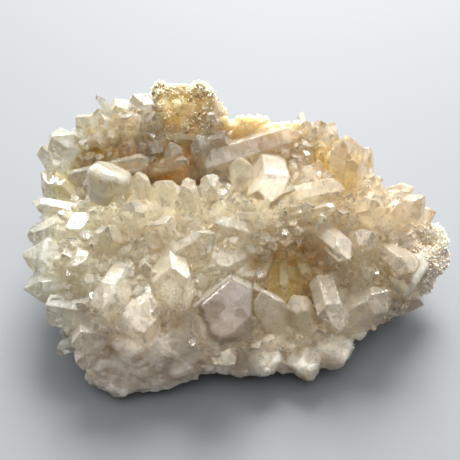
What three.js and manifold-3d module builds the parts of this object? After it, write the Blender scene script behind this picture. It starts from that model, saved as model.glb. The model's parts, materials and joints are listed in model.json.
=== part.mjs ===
// A quartz cluster: one lump of massive quartz, about 135 mm wide, overgrown
// with six-sided rock crystals. Millimetres, +Z up, the broken front towards -Y.
// The origin is the middle of the flat underside that the lump rests on.
import * as THREE from "three";
import { ConvexGeometry } from "three/addons/geometries/ConvexGeometry.js";
import { mergeVertices } from "three/addons/utils/BufferGeometryUtils.js";
import Module from "manifold-3d";

const wasm = await Module();
wasm.setup();

// ---- Driving dimensions ----------------------------------------------------

const HEART = [0, 3]; // where the rock's rings are centred, seen from above
const TOP_RINGS = 6;
const SIDE_RINGS = 3;
const RING_STEPS = 28;
const PLATEAU = 26; // height of the rock between its ridges and hollows
const RIM_BLEND = 0.82; // from here outwards the top bends down to the rim
const OVERHANG = 1.4; // how late the side draws in on its way down to the foot
const ROUGHNESS = 1.3; // how far the broken top wanders
const SIDE_ROUGHNESS = 3.2; // and the broken side, halfway down

const FACE_SLOPE = THREE.MathUtils.degToRad(51.8); // quartz's end faces, off its long axis
const ROOT = 5; // how far a crystal goes on inside the rock
const UNEVEN = 0.24; // how much a crystal's six sides differ, as a share of its width
const LOPSIDED = 0.26; // how much its six end faces differ, as a share of its width
const MINOR_FACES = 0.1; // how much lower every other end face is, as a share of its width

const SMALL = {
  seed: 7,
  darts: 2500, // how many places are tried
  reach: 1.25, // how far down the rock's side they grow, as rockPoint's out
  wide: [5, 8.5],
  free: [3.5, 8],
  spread: 0.55, // how far each leans away from the rock's normal
  clearance: 0.53, // how near two crystals may stand, as a share of both widths
  minorFaces: 0.3,
  lowest: 9, // nothing grows nearer to the floor than this
  lowestBehind: 26, // nor this near to it on the broken back
  behind: 36, // which begins at this y
};

// The widest line round the rock, from the front left corner to the right:
// x, y, height, and how far the foot below it is tucked in.
const RIM = [
  [-23, -39, 6, 8],
  [-10, -35, 7, 8],
  [4, -35, 5, 9],
  [19, -34, 5, 10],
  [33, -28, 8, 11],
  [43, -17, 11, 13],
  [52, -9, 14, 15],
  [64, -3, 18, 20],
  [60, 8, 23, 18],
  [48, 20, 27, 15],
  [36, 31, 34, 13],
  [22, 37, 42, 12],
  [10, 39, 44, 11],
  [-2, 40, 42, 11],
  [-12, 43, 44, 12],
  [-31, 44, 45, 13],
  [-46, 40, 41, 14],
  [-57, 30, 34, 16],
  [-60, 18, 28, 19],
  [-61, 5, 25, 21],
  [-59, -8, 21, 20],
  [-52, -19, 17, 15],
  [-48, -30, 12, 12],
  [-45, -36, 8, 10],
  [-36, -41, 5, 9],
];

// Ridges (rise > 0) and hollows (rise < 0): a line from one point to another,
// how wide it is across, and how far it lifts or sinks the plateau.
const RELIEF = [
  { from: [-54, 33], to: [-12, 38], across: 7, rise: 18 }, // back ridge, left
  { from: [-2, 37], to: [36, 31], across: 8, rise: 15 }, // back ridge, right
  { from: [-52, 26], to: [-12, 27], across: 7, rise: -8 }, // trough before the back ridge
  { from: [-34, 2], to: [22, 10], across: 11, rise: 7 }, // middle ridge
  { from: [-50, -2], to: [-44, 4], across: 16, rise: 4 }, // left shoulder
  { from: [24, 16], to: [46, 6], across: 12, rise: 5 }, // right shoulder
  { from: [10, -14], to: [22, -12], across: 9, rise: -13 }, // iron-stained cave
  { from: [-34, -33], to: [-14, -31], across: 9, rise: -6 }, // front shelf, left
  { from: [2, -28], to: [34, -24], across: 11, rise: -13 }, // front shelf, right
  { from: [48, -8], to: [62, 0], across: 8, rise: -7 }, // right point
];

// Massive, broken quartz that stands out of the rock: each block's corners.
const BLOCKS = {
  amber: [
    [-28, 32, 39],
    [-18, 31, 40.5],
    [-7, 32, 39],
    [-12, 39, 20],
    [-28, 40, 24],
    [-4, 40, 40],
    [-9, 46, 38],
    [-29, 46, 38],
    [-28, 43, 49],
    [-24, 44, 52],
    [-14, 43.5, 53],
    [-9, 42.5, 51],
    [-5, 40, 46],
    [-11, 47, 50],
    [-26, 47, 50],
  ],
  rightPoint: [
    [46, -12, 8],
    [58, -10, 12],
    [67, -4, 18],
    [69, 0, 20],
    [64, 8, 24],
    [54, 6, 27],
    [48, -2, 24],
    [50, 4, 10],
    [62, -2, 9],
  ],
  frontToe: [
    [-47, -36, 4],
    [-37, -41, 2],
    [-24, -40, 3],
    [-12, -37, 5],
    [-10, -33, 12],
    [-18, -31, 20],
    [-33, -32, 20],
    [-44, -32, 11],
    [-37, -32, 0],
    [-22, -31, 0],
    [-20, -24, 4],
    [-38, -26, 4],
  ],
};

// The large crystals: where each leaves the rock, how many degrees it leans
// off upright and towards which compass angle (0 is +X, 90 is +Y), how wide it
// is and how far it stands out of the rock. Where it matters, spin turns it
// about its own axis.
const LARGE = [
  // along the back ridge
  { at: [-40, 36, 43], lean: 38, towards: 142, wide: 3, free: 11 },
  { at: [-38, 41, 43], lean: 25, towards: 250, wide: 9, free: 7 },
  { at: [-31, 42, 45], lean: 30, towards: 200, wide: 8, free: 6 },
  { at: [-35, 35, 41], lean: 25, towards: 275, wide: 7, free: 9 },
  { at: [-43, 35, 41], lean: 22, towards: 150, wide: 7, free: 7 },
  { at: [-47, 36, 39], lean: 35, towards: 200, wide: 9, free: 9 },
  { at: [-56, 31, 36], lean: 30, towards: 240, wide: 9, free: 9 },
  { at: [-60, 27, 32], lean: 14, towards: 170, wide: 6, free: 9 },
  { at: [-57, 24, 31], lean: 26, towards: 150, wide: 7, free: 8 },
  // lying in the trough before it
  { at: [-50, 22, 33], lean: 80, towards: 10, wide: 5, free: 22 },
  { at: [-27, 27, 32], lean: 70, towards: 350, wide: 5, free: 12 },
  // the left flank, pointing outwards
  { at: [-57, 18, 29], lean: 42, towards: 160, wide: 8, free: 8 },
  { at: [-52, 10, 29], lean: 78, towards: 176, wide: 5.5, free: 12.5 },
  { at: [-55, 3, 24], lean: 66, towards: 190, wide: 12, free: 9 },
  { at: [-54, -5, 23], lean: 76, towards: 186, wide: 13, free: 11 },
  { at: [-53, -12, 20], lean: 80, towards: 196, wide: 10, free: 10 },
  { at: [-50, -18, 19], lean: 74, towards: 214, wide: 9, free: 8 },
  { at: [-46, 1, 29], lean: 40, towards: 215, wide: 8, free: 10 },
  { at: [-45, -9, 27], lean: 50, towards: 250, wide: 8, free: 10 },
  // the big milky crystal and those beside it
  { at: [-39, 12, 32], lean: 15, towards: 270, wide: 15, free: 17, spin: 30 },
  { at: [-28, 9, 33], lean: 10, towards: 180, wide: 6, free: 13 },
  { at: [-30, -1, 33], lean: 10, towards: 240, wide: 6, free: 12 },
  { at: [-38, -8, 31], lean: 12, towards: 310, wide: 6, free: 11 },
  { at: [-38, -10, 29], lean: 75, towards: 310, wide: 5, free: 11 },
  // the lip over the front
  { at: [-24, -10, 27], lean: 55, towards: 5, wide: 7, free: 20 },
  { at: [-20, -9, 27], lean: 78, towards: 280, wide: 11, free: 18 },
  { at: [-35, -15, 26], lean: 72, towards: 257, wide: 12, free: 15 },
  { at: [-28, -17, 25], lean: 85, towards: 280, wide: 6, free: 11 },
  // the front
  { at: [-51, -22, 18.5], lean: 85, towards: 345, wide: 10, free: 14, spin: 0 },
  { at: [-31, -22, 20], lean: 62, towards: 285, wide: 13, free: 13 },
  { at: [-40, -28, 17], lean: 58, towards: 232, wide: 8, free: 11 },
  { at: [-41, -31, 12], lean: 66, towards: 225, wide: 7, free: 8.5 },
  // blunt ones grown together on the toe
  { at: [-40, -34, 10], lean: 58, towards: 235, wide: 12, free: 3 },
  { at: [-28, -36, 9], lean: 62, towards: 268, wide: 14, free: 3.5 },
  { at: [-17, -34, 8], lean: 60, towards: 292, wide: 12, free: 3.5 },
  { at: [-35, -32, 15], lean: 38, towards: 262, wide: 11, free: 3 },
  { at: [-22, -31, 15], lean: 42, towards: 285, wide: 13, free: 3 },
  { at: [-11, -31, 8], lean: 70, towards: 300, wide: 9, free: 4 },
  // the widest one, over the toe, and those on the shelf to its right
  { at: [-5, -21, 19], lean: 57, towards: 266, wide: 19, free: 13, spin: 20 },
  { at: [-4, -29, 12], lean: 80, towards: 270, wide: 5, free: 8 },
  { at: [8, -32, 8], lean: 60, towards: 280, wide: 11, free: 4 },
  { at: [12, -23, 12], lean: 20, towards: 150, wide: 9, free: 14 },
  { at: [20, -24, 11], lean: 30, towards: 120, wide: 8, free: 13 },
  { at: [18, -32, 8], lean: 60, towards: 262, wide: 12, free: 4 },
  { at: [28, -29, 9], lean: 60, towards: 300, wide: 11, free: 4 },
  { at: [27, -17, 20], lean: 82, towards: 276, wide: 8, free: 12 },
  { at: [33, -20, 13], lean: 48, towards: 5, wide: 12, free: 14 },
  { at: [36, -14, 18], lean: 25, towards: 20, wide: 6, free: 10 },
  // the cave's roof, with needles hanging forwards
  { at: [14, -4, 22], lean: 100, towards: 270, wide: 3, free: 10 },
  { at: [19, -3, 22], lean: 95, towards: 285, wide: 4, free: 9 },
  { at: [9, -4, 23], lean: 95, towards: 250, wide: 4, free: 10 },
  { at: [4, -5, 23], lean: 80, towards: 240, wide: 5, free: 10 },
  // the right shoulder
  { at: [25, 1, 30], lean: 68, towards: 292, wide: 6.5, free: 18 },
  { at: [30, -2, 28], lean: 30, towards: 185, wide: 5, free: 13 },
  { at: [18, 10, 35], lean: 60, towards: 345, wide: 8, free: 15 },
  { at: [18, 3, 34], lean: 60, towards: 350, wide: 5, free: 12 },
  { at: [34, 17, 33], lean: 5, towards: 120, wide: 11, free: 18 },
  { at: [39, 25, 31], lean: 20, towards: 20, wide: 5, free: 10 },
  { at: [47, 17, 28], lean: 55, towards: 350, wide: 6, free: 10 },
  { at: [48, 4, 28], lean: 30, towards: 5, wide: 7, free: 14 },
  { at: [54, 10, 24], lean: 50, towards: 350, wide: 6, free: 9 },
  { at: [40, 4, 30], lean: 10, towards: 250, wide: 8, free: 13 },
  { at: [35, -6, 26], lean: 20, towards: 350, wide: 7, free: 12 },
  { at: [46, -5, 25], lean: 65, towards: 290, wide: 9, free: 13 },
  { at: [54, -6, 20], lean: 80, towards: 235, wide: 8, free: 12 },
  // the middle ridge
  { at: [9, 25, 32], lean: 70, towards: 272, wide: 13, free: 24 },
  { at: [-6, 29, 34], lean: 75, towards: 8, wide: 9, free: 26 },
  { at: [2, 14, 32], lean: 10, towards: 155, wide: 6, free: 14 },
  { at: [-8, 28, 28], lean: 20, towards: 160, wide: 7, free: 15 },
  { at: [-12, 31, 30], lean: 30, towards: 10, wide: 6, free: 14 },
  { at: [-19, 27, 28], lean: 15, towards: 150, wide: 6, free: 12 },
  { at: [-22, 7, 33], lean: 5, towards: 190, wide: 6, free: 12 },
  { at: [-13, 5, 33], lean: 15, towards: 195, wide: 6, free: 12 },
  { at: [-7, 9, 32], lean: 10, towards: 170, wide: 6, free: 13 },
  { at: [3, -1, 30], lean: 55, towards: 190, wide: 6, free: 12 },
  { at: [-1, -6, 26], lean: 72, towards: 225, wide: 7, free: 12 },
];

// Where no small crystals grow: round a middle, over a height.
const BARE = [
  { middle: [-18, 41], radius: 10, above: 30 }, // the amber block's top
  { middle: [-17, 35], radius: 9, above: 28 }, // and its face
  { middle: [12, 38], radius: 9, above: 30 }, // back rim, right of the middle
  { middle: [0, 40], radius: 8, above: 30 },
  { middle: [60, -1], radius: 10, above: 0 }, // right point
  { middle: [-24, -41], radius: 15, above: 0 }, // front toe
  { middle: [15, -13], radius: 9, above: 0 }, // cave
];

// ---- Chance ----------------------------------------------------------------

// A repeatable stream of numbers from 0 to 1.
function chance(seed) {
  let state = seed >>> 0;
  return () => {
    state = (Math.imul(state, 1664525) + 1013904223) >>> 0;
    return state / 4294967296;
  };
}

// ---- The rock --------------------------------------------------------------

const rimLine = (pick) => {
  const places = RIM.map((row) => new THREE.Vector3(...pick(row)));
  return new THREE.CatmullRomCurve3(places, true, "catmullrom", 0.5);
};
const rimCurve = rimLine(([x, y, z]) => [x, y, z]);
const footCurve = rimLine(([x, y, , tuck]) => {
  const share = 1 - tuck / Math.hypot(x - HEART[0], y - HEART[1]);
  return [HEART[0] + (x - HEART[0]) * share, HEART[1] + (y - HEART[1]) * share, 0];
});

// How far a point is from a line of RELIEF.
function distanceToLine(x, y, { from, to }) {
  const [dx, dy] = [to[0] - from[0], to[1] - from[1]];
  const along = ((x - from[0]) * dx + (y - from[1]) * dy) / (dx * dx + dy * dy);
  const share = THREE.MathUtils.clamp(along, 0, 1);
  return Math.hypot(x - from[0] - share * dx, y - from[1] - share * dy);
}

function plateauHeight(x, y) {
  const lift = ({ across, rise, ...line }) =>
    rise * Math.exp(-((distanceToLine(x, y, line) / across) ** 2));
  return RELIEF.reduce((height, feature) => height + lift(feature), PLATEAU);
}

// Bumps a few millimetres wide, from crossed waves.
function bump(x, y, z) {
  const broad = Math.sin(0.31 * x + 1.7 * Math.sin(0.23 * y)) * Math.sin(0.29 * y + 0.35 * z);
  const fine = Math.sin(0.83 * x - 0.6 * z) * Math.sin(0.77 * y + 1.1 * Math.sin(0.5 * x));
  return 0.65 * broad + 0.35 * fine;
}

// The rock's surface. out runs from 0 at the heart over 1 at the rim to 2 at
// the foot, and turn once round from 0 to 1.
function rockPoint(out, turn) {
  const rim = rimCurve.getPoint(turn);
  if (out <= 1) {
    const x = THREE.MathUtils.lerp(HEART[0], rim.x, out);
    const y = THREE.MathUtils.lerp(HEART[1], rim.y, out);
    const edge = THREE.MathUtils.smoothstep(out, RIM_BLEND, 1);
    const z = THREE.MathUtils.lerp(plateauHeight(x, y), rim.z, edge);
    return new THREE.Vector3(x, y, z + ROUGHNESS * Math.min(1, 3 * out) * bump(x, y, z));
  }
  const down = out - 1;
  const foot = footCurve.getPoint(turn);
  const point = new THREE.Vector3().lerpVectors(rim, foot, down ** OVERHANG);
  point.z = rim.z * (1 - down);
  const outwards = new THREE.Vector3(point.x, point.y, 0).normalize();
  const rough = SIDE_ROUGHNESS * Math.sin(Math.PI * down);
  return point.addScaledVector(outwards, rough * bump(point.x, point.y, point.z));
}

function rockGeometry() {
  const rings = TOP_RINGS + SIDE_RINGS;
  const places = [rockPoint(0, 0)];
  for (let ring = 1; ring <= rings; ring++) {
    const out = ring <= TOP_RINGS ? ring / TOP_RINGS : 1 + (ring - TOP_RINGS) / SIDE_RINGS;
    for (let step = 0; step < RING_STEPS; step++) {
      places.push(rockPoint(out, step / RING_STEPS));
    }
  }
  const under = places.push(new THREE.Vector3(HEART[0], HEART[1], 0)) - 1;
  const at = (ring, step) => 1 + (ring - 1) * RING_STEPS + (step % RING_STEPS);
  const faces = [];
  for (let step = 0; step < RING_STEPS; step++) {
    faces.push(0, at(1, step), at(1, step + 1));
    faces.push(under, at(rings, step + 1), at(rings, step));
    for (let ring = 1; ring < rings; ring++) {
      const [a, b] = [at(ring, step), at(ring, step + 1)];
      const [c, d] = [at(ring + 1, step), at(ring + 1, step + 1)];
      faces.push(a, c, d, a, d, b);
    }
  }
  return new THREE.BufferGeometry().setFromPoints(places).setIndex(faces);
}

// ---- A crystal -------------------------------------------------------------

// The point where three planes meet, or null where they don't.
function meeting(a, b, c) {
  const cross = b.normal.clone().cross(c.normal);
  const volume = a.normal.dot(cross);
  if (Math.abs(volume) < 1e-4) return null;
  const sum = cross.multiplyScalar(-a.constant);
  sum.addScaledVector(c.normal.clone().cross(a.normal), -b.constant);
  sum.addScaledVector(a.normal.clone().cross(b.normal), -c.constant);
  return sum.divideScalar(volume);
}

// The closed solid that lies behind every one of the planes.
function solidBehind(planes) {
  const corners = [];
  planes.forEach((a, i) =>
    planes.slice(i + 1).forEach((b, j) =>
      planes.slice(i + j + 2).forEach((c) => {
        const point = meeting(a, b, c);
        if (!point || planes.some((plane) => plane.distanceToPoint(point) > 1e-3)) return;
        if (corners.every((corner) => corner.distanceTo(point) > 0.02)) corners.push(point);
      }),
    ),
  );
  return new ConvexGeometry(corners);
}

function axisOf({ lean, towards }) {
  const slope = THREE.MathUtils.degToRad(lean);
  const compass = THREE.MathUtils.degToRad(towards);
  const across = Math.sin(slope);
  return new THREE.Vector3(across * Math.cos(compass), across * Math.sin(compass), Math.cos(slope));
}

// A six-sided prism with a six-faced end. The end faces stand over the sides
// at the slope all quartz has, and every other one is the larger.
function crystalGeometry(crystal, random) {
  const { at, wide, free, minorFaces = MINOR_FACES } = crystal;
  const facing = (slope, around, distance) => {
    const normal = new THREE.Vector3().setFromSphericalCoords(1, slope, around);
    return new THREE.Plane(normal, -distance);
  };
  const anySpin = random() * 2 * Math.PI;
  const spin = crystal.spin === undefined ? anySpin : THREE.MathUtils.degToRad(crystal.spin);
  const planes = [facing(Math.PI, 0, ROOT)];
  for (let side = 0; side < 6; side++) {
    const around = spin + (side * Math.PI) / 3;
    const minor = side % 2 ? minorFaces : 0;
    planes.push(facing(Math.PI / 2, around, (wide / 2) * (1 + UNEVEN * (2 * random() - 1))));
    const over = wide * (minor + LOPSIDED * random());
    planes.push(facing(FACE_SLOPE, around, free * Math.cos(FACE_SLOPE) + over));
  }
  const up = new THREE.Vector3(0, 1, 0);
  const turn = new THREE.Quaternion().setFromUnitVectors(up, axisOf(crystal));
  return solidBehind(planes).applyQuaternion(turn).translate(...at);
}

// ---- Solids ----------------------------------------------------------------

function solidOf(geometry) {
  const bare = geometry.clone();
  bare.deleteAttribute("normal");
  bare.deleteAttribute("uv");
  const merged = mergeVertices(bare, 1e-4);
  return new wasm.Manifold(
    new wasm.Mesh({
      numProp: 3,
      vertProperties: new Float32Array(merged.attributes.position.array),
      triVerts: new Uint32Array(merged.index.array),
    }),
  );
}

function geometryOf(solid) {
  const { vertProperties, numProp, triVerts } = solid.getMesh();
  const places = new THREE.InterleavedBuffer(vertProperties, numProp);
  return new THREE.BufferGeometry()
    .setAttribute("position", new THREE.InterleavedBufferAttribute(places, 3, 0))
    .setIndex(new THREE.BufferAttribute(triVerts, 1));
}

// ---- The cluster -----------------------------------------------------------

// The small crystals fill the room that the large ones leave on the rock's top
// and flanks: each dart that lands clear of all the others grows one.
function smallCrystals(random) {
  const between = ([low, high]) => THREE.MathUtils.lerp(low, high, random());
  const lineOf = (crystal) => {
    const foot = new THREE.Vector3(...crystal.at);
    return new THREE.Line3(foot, foot.clone().addScaledVector(axisOf(crystal), crystal.free));
  };
  const taken = LARGE.map((crystal) => ({ line: lineOf(crystal), wide: crystal.wide }));
  const nearest = new THREE.Vector3();
  const found = [];
  for (let dart = 0; dart < SMALL.darts; dart++) {
    const out = SMALL.reach * Math.sqrt(random());
    const turn = random();
    const here = rockPoint(out, turn);
    const outwards = rockPoint(out + 0.02, turn).sub(here);
    const along = rockPoint(out, turn + 0.01).sub(here);
    const axis = outwards.cross(along).normalize();
    axis.x += SMALL.spread * (random() - 0.5);
    axis.y += SMALL.spread * (random() - 0.5);
    axis.z += SMALL.spread * (random() - 0.3);
    axis.normalize();
    const crystal = {
      at: here.toArray(),
      lean: THREE.MathUtils.radToDeg(Math.acos(axis.z)),
      towards: THREE.MathUtils.radToDeg(Math.atan2(axis.y, axis.x)),
      wide: between(SMALL.wide),
      free: between(SMALL.free),
      minorFaces: SMALL.minorFaces,
    };
    const isLow = here.z < (here.y > SMALL.behind ? SMALL.lowestBehind : SMALL.lowest);
    const isBare = BARE.some(
      ({ middle, radius, above }) =>
        here.z > above && Math.hypot(here.x - middle[0], here.y - middle[1]) < radius,
    );
    const isTaken = taken.some(({ line, wide }) => {
      const room = line.closestPointToPoint(here, true, nearest).distanceTo(here);
      return room < SMALL.clearance * (wide + crystal.wide);
    });
    if (isLow || isBare || isTaken) continue;
    found.push(crystal);
    taken.push({ line: lineOf(crystal), wide: crystal.wide });
  }
  return found;
}

const random = chance(SMALL.seed);
const crystals = [...LARGE, ...smallCrystals(random)];
const blocks = Object.values(BLOCKS).map((corners) => {
  const places = corners.map((corner) => new THREE.Vector3(...corner));
  return new ConvexGeometry(places);
});
const grown = crystals.map((crystal) => crystalGeometry(crystal, random));
const joined = wasm.Manifold.union([rockGeometry(), ...blocks, ...grown].map(solidOf));
// What the join leaves shut in or loose is dropped, and the underside is cut flat.
const [solid] = joined
  .trimByPlane([0, 0, 1], 0)
  .decompose()
  .sort((a, b) => b.volume() - a.volume());

const cluster = new THREE.Mesh(
  geometryOf(solid),
  new THREE.MeshStandardMaterial({ color: 0xd8c7a2, roughness: 0.25, metalness: 0 }),
);
cluster.name = "quartz_cluster";

const specimen = new THREE.Group();
specimen.add(cluster);

export default specimen;
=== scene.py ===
import itertools
import json
import math

import bmesh
import bpy
import numpy as np
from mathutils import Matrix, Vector

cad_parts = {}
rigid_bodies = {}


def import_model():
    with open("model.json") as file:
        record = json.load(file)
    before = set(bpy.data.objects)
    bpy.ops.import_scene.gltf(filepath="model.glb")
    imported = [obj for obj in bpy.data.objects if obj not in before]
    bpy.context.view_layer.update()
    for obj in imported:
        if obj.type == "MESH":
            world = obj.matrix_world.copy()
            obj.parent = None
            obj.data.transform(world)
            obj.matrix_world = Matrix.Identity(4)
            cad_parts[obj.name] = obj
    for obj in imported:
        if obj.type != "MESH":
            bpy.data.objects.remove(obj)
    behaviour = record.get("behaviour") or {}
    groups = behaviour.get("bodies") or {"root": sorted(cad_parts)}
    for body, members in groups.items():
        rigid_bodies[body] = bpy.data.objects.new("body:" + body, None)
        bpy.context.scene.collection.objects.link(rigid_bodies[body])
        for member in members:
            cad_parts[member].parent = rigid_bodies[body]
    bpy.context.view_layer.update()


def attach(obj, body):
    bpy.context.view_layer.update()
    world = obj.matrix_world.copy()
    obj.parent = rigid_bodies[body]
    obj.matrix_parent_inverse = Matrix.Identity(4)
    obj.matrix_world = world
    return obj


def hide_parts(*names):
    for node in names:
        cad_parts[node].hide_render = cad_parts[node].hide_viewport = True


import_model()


# ---- Camera -------------------------------------------------------------------
# It looks down on the broken front of the cluster from close by, through a slightly
# long lens.

TARGET = Vector((-0.0026, 0.0083, 0.022))
ELEVATION = math.radians(48)
DISTANCE = 0.2275
LENS = 55
SENSOR = 36

camera_data = bpy.data.cameras.new("camera")
camera_data.lens = LENS
camera_data.sensor_width = SENSOR
camera = bpy.data.objects.new("camera", camera_data)
bpy.context.scene.collection.objects.link(camera)
towards_camera = Vector((0, -math.cos(ELEVATION), math.sin(ELEVATION)))
camera.location = TARGET + DISTANCE * towards_camera
camera.rotation_euler = (math.pi / 2 - ELEVATION, 0, 0)
bpy.context.scene.camera = camera


# ---- The rock -------------------------------------------------------------------
# The lump of massive quartz that carries every crystal, with three blocks and some
# blunt crystals grown into it. It is cream to pinkish grey, waxy and translucent
# where it is broken, and iron has stained its hollows.

MM = 0.001
HEART = (0, 3)  # the middle of the rock, seen from above
PLATEAU = 26  # how high it stands where there's no ridge or hollow
RIM_BLEND = 0.82  # how far out its top starts to turn down or up to the rim
OVERHANG = 1.4  # above 1, its sides tuck in late, near the foot
ROUGHNESS = 1.3
SIDE_ROUGHNESS = 3.2

# The widest line round the rock: x, y, height, and how far the foot below it is tucked in.
RIM = (
    (-23, -39, 6, 8),
    (-10, -35, 7, 8),
    (4, -35, 5, 9),
    (19, -34, 5, 10),
    (33, -28, 8, 11),
    (43, -17, 11, 13),
    (52, -9, 14, 15),
    (64, -3, 18, 20),
    (60, 8, 23, 18),
    (48, 20, 27, 15),
    (36, 31, 34, 13),
    (22, 37, 42, 12),
    (10, 39, 44, 11),
    (-2, 40, 42, 11),
    (-12, 43, 44, 12),
    (-31, 44, 45, 13),
    (-46, 40, 41, 14),
    (-57, 30, 34, 16),
    (-60, 18, 28, 19),
    (-61, 5, 25, 21),
    (-59, -8, 21, 20),
    (-52, -19, 17, 15),
    (-48, -30, 12, 12),
    (-45, -36, 8, 10),
    (-36, -41, 5, 9),
)
# Ridges and hollows: a line from one point to another, its width across, and its lift.
RELIEF = (
    ((-54, 33), (-12, 38), 7, 18),  # back ridge, left
    ((-2, 37), (36, 31), 8, 15),  # back ridge, right
    ((-52, 26), (-12, 27), 7, -8),  # trough before the back ridge
    ((-34, 2), (22, 10), 11, 7),  # middle ridge
    ((-50, -2), (-44, 4), 16, 4),  # left shoulder
    ((24, 16), (46, 6), 12, 5),  # right shoulder
    ((10, -14), (22, -12), 9, -13),  # iron-stained cave
    ((-34, -33), (-14, -31), 9, -6),  # front shelf, left
    ((2, -28), (34, -24), 11, -13),  # front shelf, right
    ((48, -8), (62, 0), 8, -7),  # right point
)
# Blocks that stand out of the rock: their corners.
AMBER_BLOCK = (
    (-28, 32, 39), (-18, 31, 40.5), (-7, 32, 39), (-12, 39, 20), (-28, 40, 24), (-4, 40, 40),
    (-9, 46, 38), (-29, 46, 38), (-28, 43, 49), (-24, 44, 52), (-14, 43.5, 53), (-9, 42.5, 51),
    (-5, 40, 46), (-11, 47, 50), (-26, 47, 50),
)
RIGHT_POINT = (
    (46, -12, 8), (58, -10, 12), (67, -4, 18), (69, 0, 20), (64, 8, 24),
    (54, 6, 27), (48, -2, 24), (50, 4, 10), (62, -2, 9),
)
FRONT_TOE = (
    (-47, -36, 4), (-37, -41, 2), (-24, -40, 3), (-12, -37, 5), (-10, -33, 12), (-18, -31, 20),
    (-33, -32, 20), (-44, -32, 11), (-37, -32, 0), (-22, -31, 0), (-20, -24, 4), (-38, -26, 4),
)

FACE_SLOPE = math.radians(51.8)  # quartz's own, between an end face and the level across the axis
ROOT = 5  # mm of a crystal that is buried in the rock
UNEVEN = 0.24  # how much its sides' distances vary
LOPSIDED = 0.26  # how much further out an end face may be, in widths
MINOR_FACES = 0.1  # how much further out every other end face is, in widths

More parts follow.
